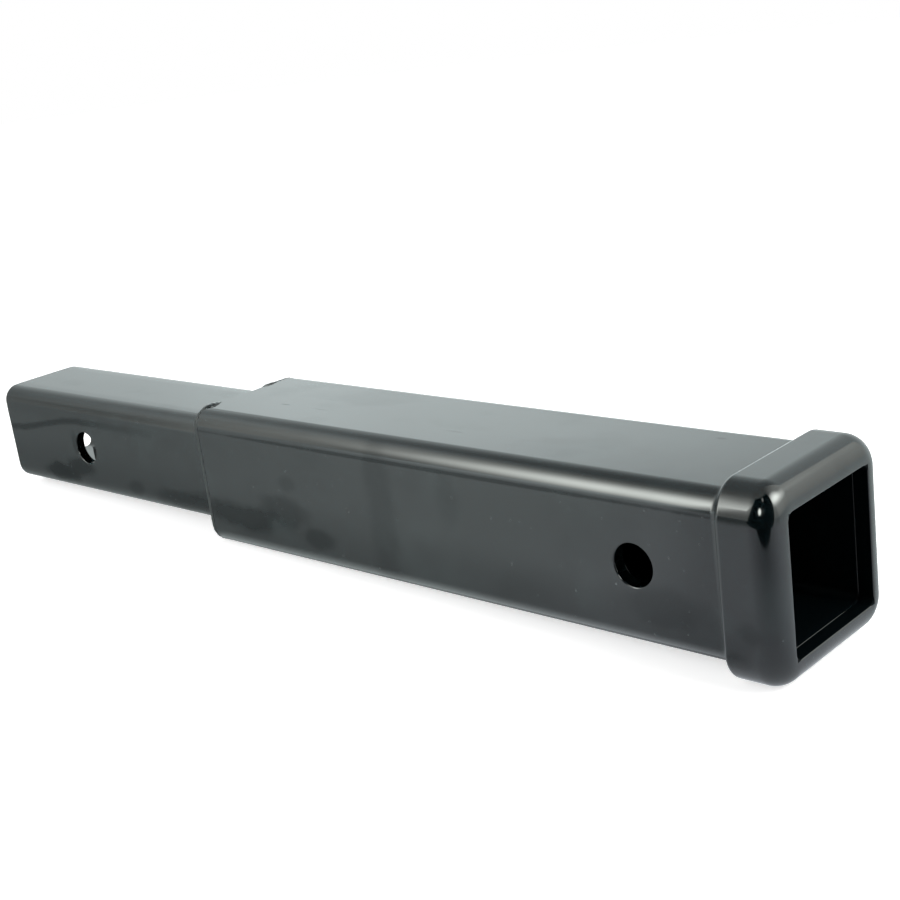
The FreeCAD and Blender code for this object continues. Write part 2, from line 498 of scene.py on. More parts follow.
class Skin:
    """A closed surface, put together face by face with a normal at each corner."""

    GRAIN = 1e-7

    def __init__(self, name: str) -> None:
        """Start an empty surface.

        Args:
            name: The name of the piece.
        """
        self.name = name
        self.points: list[Vector] = []
        self.found: dict[tuple[int, int, int], int] = {}
        self.faces: list[list[int]] = []
        self.normals: list[Vector] = []

    def point(self, place: Vector) -> int:
        """Find or add a point.

        Args:
            place: Where it lies.

        Returns:
            Its number, which all faces that meet there share.
        """
        key = tuple(round(c / self.GRAIN) for c in place)
        if key not in self.found:
            self.found[key] = len(self.points)
            self.points.append(place)
        return self.found[key]

    def face(self, corners: Sequence[Corner]) -> None:
        """Add a face, wound so that it faces along its normals.

        Args:
            corners: The place and the normal of each corner, in order.
        """
        kept: list[tuple[int, Vector]] = []
        for place, normal in corners:
            number = self.point(place)
            if number not in [k for k, _ in kept]:
                kept.append((number, normal))
        if len(kept) < 3:
            return
        middle = sum((n for _, n in kept), NOWHERE)
        spots = [self.points[k] for k, _ in kept]
        facing = sum((spots[i - 1].cross(spots[i]) for i in range(len(spots))), NOWHERE)
        if facing.dot(middle) < 0:
            kept.reverse()
        self.faces.append([k for k, _ in kept])
        self.normals.extend(n for _, n in kept)

    def band(self, near: Sequence[Corner], far: Sequence[Corner],
             left_out: Callable[[Vector, Vector], bool] | None = None) -> None:
        """Lay faces between two closed rings of points.

        Args:
            near: The place and the normal of each point of one ring.
            far: The same for the next ring.
            left_out: Says of a face's middle and normal whether the face is left for a hole.
        """
        for k in range(len(near)):
            following = (k + 1) % len(near)
            corners = [near[k], near[following], far[following], far[k]]
            middle = sum((place for place, _ in corners), NOWHERE) / 4
            if left_out is None or not left_out(middle, near[k][1]):
                self.face(corners)

    def loft(self, outline: Outline, sections: Sequence[Section],
             left_out: Callable[[Vector, Vector], bool] | None = None) -> None:
        """Run the surface through outlines that form a closed loop.

        Args:
            outline: How each outline's points are spread.
            sections: The outlines, in order. The last is joined to the first.
            left_out: Says of a face's middle and normal whether the face is left for a hole.
        """
        rings = []
        for section in sections:
            out, along = math.cos(section.lean), math.sin(section.lean)
            rings.append([(Vector((section.x, y, z)), Vector((along, out * ny, out * nz)))
                          for y, z, ny, nz in outline.stations(section.half, section.corner)])
        for near, far in zip(rings, rings[1:] + rings[:1]):
            if (near[0][0] - far[0][0]).length >= self.GRAIN:
                self.band(near, far, left_out)

    def piece(self, material: bpy.types.Material) -> bpy.types.Object:
        """Make the object.

        Args:
            material: Its finish.

        Returns:
            The object, which stands at the origin.
        """
        mesh = bpy.data.meshes.new(self.name)
        mesh.from_pydata([tuple(p) for p in self.points], [], self.faces)
        mesh.polygons.foreach_set("use_smooth", [True] * len(mesh.polygons))
        mesh.normals_split_custom_set([tuple(n.normalized()) for n in self.normals])
        mesh.materials.append(material)
        return new_object(self.name, mesh)


def edge_round(x: float, half: float, corner: float, radius: float, first: int, steps: int) -> list[Section]:
    """Outlines that round one edge of a tube.

    Args:
        x: The place of the end face along X.
        half: Half side of the face beside it.
        corner: Corner radius of that face.
        radius: The rounding.
        first: Lean at the start in quarter turns: 3 rear outer, 0 front outer, 1 front inner, 2 rear inner.
        steps: Steps round the edge.

    Returns:
        The outlines, in the order that the skin runs.
    """
    centre_x = x + radius * (-1 if first in (0, 1) else 1)
    centre_half = half + radius * (-1 if first in (0, 3) else 1)
    found = []
    for step in range(steps + 1):
        lean = (first + step / steps) * QUARTER
        reach = centre_half + radius * math.cos(lean)
        found.append(Section(centre_x + radius * math.sin(lean), reach, corner + reach - half, lean))
    return found


def fitted(piece: bpy.types.Object, node: str) -> bpy.types.Object:
    """Tie a finished piece to the frame.

    Args:
        piece: The piece.
        node: The node that it stands for.

    Returns:
        The same piece.
    """
    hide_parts(node)
    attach(piece, BODY)
    log.info("%s: %d faces", piece.name, len(piece.data.polygons))
    return piece


@dataclass
class SquareTube:
    """A square tube with round corners, crossed by a pin hole."""

    node: str
    hole: str
    wall: float
    inner_corner: float
    corner: float = 8.0 * MM
    slot: Slot = Slot.BLACK_COAT
    end_round: float = 0.9 * MM
    inner_end_round: float = 0.45 * MM
    rim_round: float = 0.55 * MM
    window_margin: float = 3.6 * MM
    window_steps: int = 18
    corner_steps: int = 16
    round_steps: int = 6
    bend: float = 0.0
    bend_turn: float = 0.0

    def __post_init__(self) -> None:
        """Read the place and size of the tube and its hole from the frame."""
        low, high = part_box(self.node)
        self.x_from, self.x_to, self.half = low.x, high.x, high.y
        self.inner_half = self.half - self.wall
        hole = next(m for m in frame["record"]["mounts"] if m["name"] == self.hole)
        self.hole_x = hole["pos_m"][0]
        self.hole_radius = hole["dims"]["r_mm"] * MM
        self.window = self.hole_radius + self.window_margin
        self.lines = [self.window * (2 * i / self.window_steps - 1) for i in range(self.window_steps + 1)]

    def sections(self) -> list[Section]:
        """Outlines of the whole skin: outside, front end, inside, rear end.

        Returns:
            The outlines, in order.
        """
        outer = (self.half, self.corner)
        inner = (self.inner_half, self.inner_corner)
        stations = [self.hole_x + line for line in self.lines]
        found = edge_round(self.x_from, *outer, self.end_round, 3, self.round_steps)
        found += [Section(x, *outer, 0.0) for x in stations]
        found += edge_round(self.x_to, *outer, self.end_round, 0, self.round_steps)
        found += edge_round(self.x_to, *inner, self.inner_end_round, 1, self.round_steps)
        found += [Section(x, *inner, TURN / 2) for x in reversed(stations)]
        return found + edge_round(self.x_from, *inner, self.inner_end_round, 2, self.round_steps)

    def in_window(self, place: Vector, normal: Vector) -> bool:
        """Whether a face of the grid lies where the pin hole goes."""
        beside = abs(normal.y) > 0.9
        return beside and abs(place.x - self.hole_x) < self.window and abs(place.z) < self.window

    def add_hole(self, skin: Skin, side: Side) -> None:
        """Lay the pin hole and the flat round it into one side wall.

        Args:
            skin: The tube's skin.
            side: The wall.
        """
        lines, last = self.lines, self.window
        rim = ([(last, z) for z in lines[:-1]] + [(x, last) for x in reversed(lines[1:])]
               + [(-last, z) for z in reversed(lines[1:])] + [(x, -last) for x in lines[:-1]])
        layers: list[tuple[float | None, float, float]] = [(None, self.half, 0.0)]
        for quarter, wall in enumerate((self.half, self.inner_half)):
            for step in range(self.round_steps + 1):
                turn = (quarter + step / self.round_steps) * QUARTER
                radius = self.hole_radius + self.rim_round * (1 - math.sin(turn))
                layers.append((radius, wall + self.rim_round * (math.cos(turn) + 2 * quarter - 1), turn))
        layers.append((None, self.inner_half, TURN / 2))
        rings = []
        for radius, y, turn in layers:
            ring = []
            for x, z in rim:
                reach = math.hypot(x, z)
                share = 1.0 if radius is None else radius / reach
                flat = -math.sin(turn) / reach
                ring.append((Vector((self.hole_x + x * share, side.value * y, z * share)),
                             Vector((flat * x, side.value * math.cos(turn), flat * z))))
            rings.append(ring)
        for near, far in zip(rings, rings[1:]):
            skin.band(near, far)

    def build(self, finish: bpy.types.Material) -> bpy.types.Object:
        """Make the tube.

        Args:
            finish: Its material.

        Returns:
            The tube's object.
        """
        skin = Skin(f"{self.node}_skin")
        outline = Outline(self.corner_steps, tuple(self.lines), self.bend, self.bend_turn)
        skin.loft(outline, self.sections(), self.in_window)
        for side in Side:
            self.add_hole(skin, side)
        return fitted(skin.piece(finish), self.node)


@dataclass
class TubeRing:
    """A ring round the receiver tube."""

    tube: SquareTube
    node: str
    slot: Slot
    corner_steps: int

    def __post_init__(self) -> None:
        """Read the ring's place and size from the frame."""
        low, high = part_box(self.node)
        self.rear, self.front, self.half = low.x, high.x, high.y

    def sections(self) -> list[Section]:
        """Outlines of the ring, in order. Each kind of ring has its own."""
        raise NotImplementedError

    def build(self, finish: bpy.types.Material) -> bpy.types.Object:
        """Make the ring.

        Args:
            finish: Its material.

        Returns:
            The ring's object.
        """
        skin = Skin(f"{self.node}_skin")
        skin.loft(Outline(self.corner_steps), self.sections())
        return fitted(skin.piece(finish), self.node)


@dataclass
class Collar(TubeRing):
    """The ring round the mouth: broad round nose, thin lip, socket for the tube behind the lip."""

    node: str = "receiver_collar"
    slot: Slot = Slot.BLACK_COAT
    corner_steps: int = 28
    fit_gap: float = 0.1 * MM
    mouth_flat: float = 0.3 * MM
    mouth_round: float = 0.8 * MM
    rear_round: float = 2.3 * MM
    lip_round: float = 0.3 * MM
    nose_steps: int = 24
    small_steps: int = 8

    def sections(self) -> list[Section]:
        """Outlines of the ring: rear face, outside, nose, mouth, lip, socket.

        Returns:
            The outlines, in order.
        """
        tube = self.tube
        outer = (self.half, tube.corner + self.half - tube.half)
        bore = (tube.inner_half, tube.inner_corner)
        socket = (tube.half + self.fit_gap, tube.corner + self.fit_gap)
        nose = self.half - tube.inner_half - self.mouth_flat - self.mouth_round
        found = [Section(self.rear, *socket, 3 * QUARTER)]
        found += edge_round(self.rear, *outer, self.rear_round, 3, self.small_steps)
        found += edge_round(self.front, *outer, nose, 0, self.nose_steps)
        found += edge_round(self.front, *bore, self.mouth_round, 1, self.small_steps)
        found += edge_round(tube.x_to, *bore, self.lip_round, 2, self.small_steps)
        found.append(Section(tube.x_to, *socket, 3 * QUARTER))
        return found + [Section(x, *socket, TURN / 2) for x in (tube.x_to, self.rear)]


@dataclass
class CollarWeld(TubeRing):
    """The bead behind the collar, drawn out thin on the tube and up to the collar's rear edge."""

    node: str = "collar_weld"
    slot: Slot = Slot.WELD_COAT
    corner_steps: int = 20
    toe_reach: float = 0.5 * MM
    heel_reach: float = 0.25 * MM
    sink: float = 0.4 * MM
    fullness: float = 5.0
    toe_depth: float = 0.03 * MM
    steps: int = 20

    def sections(self) -> list[Section]:
        """Outlines of the bead, which leaves the tube flat and steepens up to the collar's rounded edge.

        Returns:
            The outlines, in order.
        """
        toe_x, heel_x = self.rear - self.toe_reach, self.front + self.heel_reach
        rise = self.half - self.tube.half
        found = []
        for step in range(self.steps + 1):
            share = step / self.steps
            lift = rise * share ** self.fullness - self.toe_depth * (1 - share)
            slope = rise * self.fullness * share ** (self.fullness - 1) / (heel_x - toe_x)
            x = toe_x + (heel_x - toe_x) * share
            found.append(Section(x, self.tube.half + lift, self.tube.corner + lift, -math.atan(slope)))
        inside = (self.tube.half - self.sink, self.tube.corner - self.sink)
        return found + [Section(x, *inside, TURN / 2) for x in (heel_x, toe_x)]


class Ripples:
    """The node tree that lays the ripples of welding on a bead."""

    FINENESS = 260.0
    WANDER = 0.9
    SMALLEST = 0.45

    def __init__(self) -> None:
        """Build the tree, with named inputs for pitch, height, skew and seed."""
        self.tree = bpy.data.node_groups.new("weld_ripples", "GeometryNodeTree")
        self.tree.interface.new_socket("Geometry", in_out="OUTPUT", socket_type="NodeSocketGeometry")
        for name, kind in (("Geometry", "Geometry"), ("Pitch", "Float"), ("Height", "Float"),
                           ("Skew", "Float"), ("Seed", "Int"), ("Finish", "Material")):
            self.tree.interface.new_socket(name, in_out="INPUT", socket_type=f"NodeSocket{kind}")
        board = Board(self.tree)
        given = board.node("NodeGroupInput").outputs
        marks = [board.wire("GeometryNodeInputNamedAttribute", {"data_type": "FLOAT"}, {"Name": name})
                 for name in BEAD_MARKS]
        along, across, hold = marks
        pitch, height, skew, seed = (Wire(board, given[name]) for name in ("Pitch", "Height", "Skew", "Seed"))
        wander = board.wire("ShaderNodeTexNoise", {"noise_dimensions": "4D"}, {
            "Vector": board.wire("GeometryNodeInputPosition"), "W": seed * 1.7, "Scale": self.FINENESS,
            "Detail": 1.0})
        phase = (along + across * across * skew) / pitch + (wander - 0.5) * self.WANDER
        spread = board.maths("FRACT", phase) * 2.0 - 1.0
        size = board.wire("FunctionNodeRandomValue", {"data_type": "FLOAT"}, {
            2: self.SMALLEST, 3: 1.0, "ID": board.maths("FLOOR", phase), "Seed": seed}, 1)
        lift = (1.0 - spread * spread) * size * height * hold
        offset = board.wire("ShaderNodeVectorMath", {"operation": "SCALE"}, {
            0: board.wire("GeometryNodeInputNormal"), "Scale": lift})
        moved = board.wire("GeometryNodeSetPosition", None, {"Geometry": given["Geometry"], "Offset": offset})
        whole = board.wire("GeometryNodeRealizeInstances", None, {0: moved})
        coated = board.wire("GeometryNodeSetMaterial", None, {"Geometry": whole, "Material": given["Finish"]})
        board.node("NodeGroupOutput", None, {"Geometry": coated})

    def lay(self, piece: bpy.types.Object, sizes: Settings) -> None:
        """Lay the ripples on a bead and keep the result as its mesh.

        Args:
            piece: The bead, with the attributes along, across and hold.
            sizes: The ripples' pitch, full height and skew, how far they trail at the bead's edges, and the
                seed that picks their unevenness.
        """
        modifier = piece.modifiers.new("ripples", "NODES")
        modifier.node_group = self.tree
        wanted = {**sizes, "Finish": piece.data.materials[0]}
        for item in self.tree.interface.items_tree:
            if item.in_out == "INPUT" and item.name in wanted:
                modifier[item.identifier] = wanted[item.name]
        graph = bpy.context.evaluated_depsgraph_get()
        rippled = bpy.data.meshes.new_from_object(piece.evaluated_get(graph))
        rippled.name = piece.name
        piece.modifiers.clear()
        old, piece.data = piece.data, rippled
        bpy.data.meshes.remove(old)


@dataclass
class ShankWeld:
    """A bead from the shank's side up to the receiver tube's rear edge, round both corners of one side."""

    side: Side
    node: str
    shank: SquareTube
    tube: SquareTube
    top_start: float
    seed: int
    slot: Slot = Slot.WELD_COAT
    lump: tuple[float, float, float] = (6.5 * MM, 6.5 * MM, 4.2 * MM)
    lump_proud: float = 0.9 * MM
    lump_wrap: float = 2.7 * MM
    bottom_end: float = 17 * MM
    leg: float = 5.6 * MM
    proud: float = 0.04 * MM
    wrap: float = 0.45 * MM
    crest_lap: float = 0.35 * MM
    front_dip: float = 0.03 * MM
    toe_dip: float = 0.2 * MM
    sink: float = 0.5 * MM
    pitch: float = 2.6 * MM
    ripple: float = 0.16 * MM
    skew: float = 1.2 * MM
    taper: float = 3.0 * MM
    end_size: float = 0.12
    spacing: float = 0.3 * MM
    crown_steps: int = 16
    lap_steps: int = 8

    def __post_init__(self) -> None:
        """Spread the points of the bead's outline over its crown and its lap on the tube."""
        self.crown = shares(self.crown_steps)
        self.lap = [*shares(self.lap_steps), 1.0]

    def path(self) -> list[tuple[float, Vector, Vector, Vector]]:
        """Stations from the bead's end on top, down the side, to its end below.

        Returns:
            For each station: the distance run, the points on the outlines of the tube and the shank, and the
            outward direction, the last three across X.
        """
        sizes = ((self.tube.half, self.tube.corner), (self.shank.half, self.shank.corner))
        flat, inner_flat = (half - corner for half, corner in sizes)
        arc = self.tube.corner * QUARTER
        runs = [flat - self.top_start, arc, 2 * flat, arc, flat - self.bottom_end]
        total = sum(runs)
        count = round(total / self.spacing)
        found = []
        for k in range(count + 1):
            left = total * k / count
            part = 0
            while part < 4 and left > runs[part]:
                left -= runs[part]
                part += 1
            if part in (1, 3):
                tilt = (left / runs[part] + part // 2) * QUARTER
                across, up = math.sin(tilt), math.cos(tilt)
                outer, inner = ((half - corner + corner * across, (2 - part) * (half - corner) + corner * up)
                                for half, corner in sizes)
            elif part == 2:
                tilt, z = QUARTER, flat - left
                outer, inner = (self.tube.half, z), (self.shank.half, z * inner_flat / flat)
            else:
                tilt = part * TURN / 8
                y, sign = (self.top_start + left, 1) if part == 0 else (flat - left, -1)
                outer, inner = (y, sign * self.tube.half), (min(y, inner_flat), sign * self.shank.half)
            found.append((total * k / count, *(Vector((0, self.side.value * y, z)) for y, z in (
                outer, inner, (math.sin(tilt), math.cos(tilt))))))
        return found

    def lump_at(self, run: float) -> float:
        """How much of the thick, lapped start of the bead there is at a distance run.

        Args:
            run: The distance.

        Returns:
            1 where it is thickest and 0 past it.
        """
        place, behind, ahead = self.lump
        share = (place - run) / behind if run < place else (run - place) / ahead
        return max(0.0, 1 - share * share) if share < 1 else 0.0

    def ring(self, run: float, full: float, outer: Vector, inner: Vector, out: Vector) -> list[Vector]:
        """The bead's outline at one station: crown, lap on the receiver tube, and root.

        Args:
            run: The distance run.
            full: The bead's size there, 1 away from its ends.
            outer: The point on the tube's edge.
            inner: The point on the shank.
            out: The outward direction.

        Returns:
            The outline's points, in order.
        """
        lump = self.lump_at(run)
        proud = (self.proud + (self.lump_proud - self.proud) * lump) * full
        wrap = (self.wrap + (self.lump_wrap - self.wrap) * lump) * full
        toe = inner - ALONG_X * self.leg * full
        edge = outer + out * proud
        crest = edge + ALONG_X * self.crest_lap
        bulge = edge - ALONG_X * self.leg * 0.75 * full
        front = outer + ALONG_X * wrap - out * self.front_dip
        shoulder = edge + ALONG_X * (self.crest_lap * 0.4 + wrap * 0.6)
        found = []
        curves = ((toe, bulge, crest, self.crown), (crest, shoulder, front, self.lap))
        for start, middle, end, steps in curves:
            for t in steps:
                found.append(start * (1 - t) ** 2 + middle * 2 * t * (1 - t) + end * t * t)
        found.append(outer + ALONG_X * wrap - out * self.sink)
        found.append(inner + ALONG_X * self.sink)
        found.append(toe - out * self.toe_dip)
        return found

    def mesh(self) -> bpy.types.Mesh:
        """The bead's smooth surface, with the attributes that the ripples follow.

        Returns:
            The mesh.
        """
        path = self.path()
        total = path[-1][0]
        base = ALONG_X * self.tube.x_from
        profile = [(2 * t - 1, min(1.0, t * 4)) for t in self.crown] + [(1.0, 1 - t * t) for t in self.lap]
        profile += [(1.0, 0.0), (0.0, 0.0), (-1.0, 0.0)]
        points, marks = [], []
        for run, outer, inner, out in path:
            full = min(1.0, min(run, total - run) / self.taper)
            full = self.end_size + (1 - self.end_size) * math.sqrt(full * (2 - full))
            points += self.ring(run, full, base + outer, base + inner, out)
            marks += [(run, across, hold * full) for across, hold in profile]
        width = len(profile)
        last = len(points) - width
        faces = [list(range(width))[::-1], list(range(last, last + width))]
        for start in range(0, last, width):
            for j in range(width):
                near, far = start + j, start + (j + 1) % width
                faces.append([near, far, far + width, near + width])
        if self.side is Side.RIGHT:
            faces = [face[::-1] for face in faces]
        mesh = bpy.data.meshes.new(f"{self.node}_skin")
        mesh.from_pydata([tuple(p) for p in points], [], faces)
        mesh.polygons.foreach_set("use_smooth", [True] * len(mesh.polygons))
        for name, values in zip(BEAD_MARKS, zip(*marks)):
            mesh.attributes.new(name, "FLOAT", "POINT").data.foreach_set("value", values)
        return mesh

    def build(self, finish: bpy.types.Material, ripples: Ripples) -> bpy.types.Object:
        """Make the bead.

        Args:
            finish: Its material.
            ripples: The tree that lays its ripples.

        Returns:
            The bead's object.
        """
        mesh = self.mesh()
        mesh.materials.append(finish)
        piece = new_object(mesh.name, mesh)
        sizes = {"Pitch": self.pitch, "Height": self.ripple, "Skew": self.skew, "Seed": self.seed}
        ripples.lay(piece, sizes)
        return fitted(piece, self.node)


# Studio

@dataclass
class PaintedFloorReflection:
    """The floor's painted reflection, a glow that only the object's gloss sees: painted light from the left,
    painted shadow before the camera.

    Places are in metres. A span is where a step begins and where it is full, or two levels to blend.
    """

    board: Board
    foot: Vector
    # Painted light of the floor away from the object.
    paper_levels: Span = (0.55, 0.98)
    paper_span: Span = (-0.04, 0.42)
    paper_slant: float = 1.5
    far_gain: float = 0.1
    far_span: Span = (0.15, 0.35)
    edge_x: float = 0.3736
    edge_slant: float = 0.62
    edge_span: Span = (-0.02, 0.02)
    glow_level: float = 1.25
    glow_aside: Span = (0.08, 0.6)
    glow_span: Span = (-0.42, -0.12)
    near_level: float = 0.8
    near_fall: float = 0.43
    near_span: Span = (0.12, 0.34)
    side_level: float = 0.95
    side_span: Span = (-0.22, 0.03)
    # The painted shadow before the camera: dimming near its tip, its bluish share, its outline and its depth.
    tip: float = 0.322
    tip_level: float = 0.4
    tip_span: Span = (-0.02, 0.19)
    blue_span: Span = (0.3, 0.1)
    drop_side: float = 0.066
    drop_slope: float = 0.066
    drop_gentle: float = 0.38
    drop_steep: float = 7.2
    drop_ease: float = 76.0
    drop_start: float = 0.0045
    drop_span: Span = (-0.0045, 0.0035)
    drop_depth: float = 0.98
    # The painted contact shadow beside and under the tubes.
    shade_span: Span = (0.095, 0.046)
    shade_depths: Span = (0.22, 0.3)
    stripe_span: Span = (0.044, 0.03)
    stripe_level: float = 0.52
    rim_from: Span = (0.018, 0.0298)
    rim_full: Span = (0.014, 0.0272)
    rim_depth: float = 0.66
    tube_fade: float = 0.008
    collar_fade: float = 0.012

    def __post_init__(self) -> None:
        """Measure places along and across the line from the collar's mouth to the camera's foot."""
        board, foot = self.board, self.foot
        _, x, y, _ = board.places()
        self.x = x
        self.off = board.maths("ABSOLUTE", y)
        _, collar_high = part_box("receiver_collar")
        ahead = foot.x - collar_high.x
        reach = math.hypot(ahead, foot.y)
        toward = (ahead / reach, foot.y / reach)
        self.run = (x - foot.x) * toward[0] + (y - foot.y) * toward[1] + self.tip
        self.aside = (x - foot.x) * toward[1] - (y - foot.y) * toward[0]
        self.from_tip = board.maths("SQRT", self.run * self.run + self.aside * self.aside)

    def open_floor(self) -> Wire:
        """The painted light of the floor away from the object, dimmed near the tip of the painted shadow
        before the camera.

        Returns:
            Its level.
        """
        board, off = self.board, self.off
        paper = board.blend(board.step(self.x + off * self.paper_slant, *self.paper_span), *self.paper_levels)
        paper = paper * (board.step(off, *self.far_span) * self.far_gain + 1.0)
        edge = self.x + off * self.edge_slant - self.edge_x
        glow = board.step(off, *self.glow_aside) * board.step(edge, *self.glow_span) * self.glow_level
        near = self.near_level - board.step(off, *self.near_span) * self.near_fall
        front = board.blend(board.step(self.aside, *self.side_span), self.side_level, near)
        level = board.blend(board.step(edge, *self.edge_span), paper + glow, front)
        return level * board.blend(board.step(self.from_tip, *self.tip_span), self.tip_level, 1.0)

    def drop(self) -> Wire:
        """The painted shadow before the camera, a dark drop with a curved outline.

        Returns:
            1 in the drop.
        """
        board = self.board
        over = self.aside + self.drop_side
        square = over * over
        steep = self.drop_steep / board.maths("SQRT", square * self.drop_ease + 1.0)
        bend = board.blend(board.maths("LESS_THAN", over, 0.0), self.drop_gentle, steep)
        outline = square * bend + over * self.drop_slope - self.drop_start
        return board.step(self.run - outline, *self.drop_span)

    def painted_contact_shadow(self) -> Wire:
        """The painted contact shadow on the floor beside and under the tubes.

        Returns:
            The share of the light that is left.
        """
        board, off = self.board, self.off
        tube_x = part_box("receiver_tube")[0].x
        collar_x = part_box("receiver_collar")[0].x
        under_tube = board.step(self.x, tube_x - self.tube_fade, tube_x)
        wide = 1.0 - board.step(off, *self.shade_span) * board.blend(under_tube, *self.shade_depths)
        stripe = board.step(off, *self.stripe_span) * self.stripe_level * under_tube
        rim_span = (board.blend(under_tube, *span) for span in (self.rim_from, self.rim_full))
        rim = 1.0 - board.step(off, *rim_span) * self.rim_depth
        past_collar = board.step(self.x, collar_x - self.collar_fade, collar_x)
        return board.blend(past_collar, (wide + stripe) * rim, 1.0)

    def light(self) -> tuple[Wire, Wire]:
        """The level of the floor's painted reflection, and the share of bluish light."""
        level = self.open_floor() * self.painted_contact_shadow() * (1.0 - self.drop() * self.drop_depth)
        return level, self.board.step(self.from_tip, *self.blue_span)


@dataclass(frozen=True)
class Patch:
    """A round patch of the tent, in degrees. Its level is full over the share core of its reach."""

    heading: float
    height: float
    wide: float
    tall: float
    level: float = 1.0
    core: float = 0.0


REAR_BAND = Patch(-52, 15, 32, 90, 0.54)
REAR_BRIGHT = (
    Patch(-68, 28, 26, 13, 0.26),
    Patch(-27, 30, 9, 7, 0.22),
    Patch(-42, 17, 8, 8, 0.14),
)
REAR_DIM = (
    Patch(18, 20, 42, 40, 0.9),
    Patch(275, 49, 32, 11, 0.3),
    Patch(0, 37, 14, 10, 0.12),
)
REAR_HAZE = Patch(53, 38, 70, 40, 1.3)
SIDE_UNEVEN = (
    Patch(34.2, 30.2, 27.2, 22.6, -0.93),
    Patch(32, 9, 10.5, 20, -0.33, 0.3),
    Patch(46, 5, 8, 15, 0.28),
)
BOX_HAZE = Patch(61.9, 35.4, 58.7, 30.8, 2.43)
RIGHT_BOX = (
    Patch(188.3, 39, 28.3, 17.3, 7.9),
    Patch(190.4, 29.7, 49.7, 14.6, 5.0),
    Patch(187.1, 19.2, 50, 34.9),
)
DOOR_LAMP = (
    Patch(128.5, 24.5, 7.5, 11.5, 14.0, 0.4),
    Patch(131, 24, 17, 13),
    Patch(145.5, 52.5, 6, 9, 2.4, 0.2),
)


